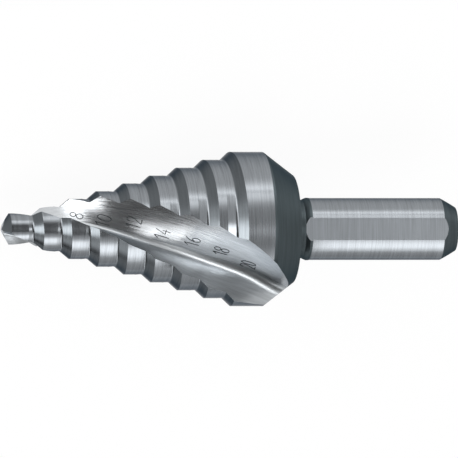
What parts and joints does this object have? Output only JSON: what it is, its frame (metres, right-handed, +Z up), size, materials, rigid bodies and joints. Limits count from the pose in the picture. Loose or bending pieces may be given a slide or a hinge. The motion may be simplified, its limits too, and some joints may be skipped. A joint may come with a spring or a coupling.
{
  "type": "step drill",
  "caption": "Stepped drill for sheet metal: a cone of relieved cutting steps with helical flutes, on a plain shank with clamping flats.",
  "frame": {"origin": "bottom centre of the bounding box, on the surface the drill lies on", "axes": "+Z up, +X the way the point faces, seen from above: the drill's axis rises from the point to the shank by its lying angle"},
  "size_m": [0.0594, 0.0196, 0.0189],
  "materials": {
    "ground_steel": "ground bright, with a dark unground back cone and neck"
  },
  "bodies": {
    "root": {"step_drill": "ground_steel"}
  },
  "joints": []
}
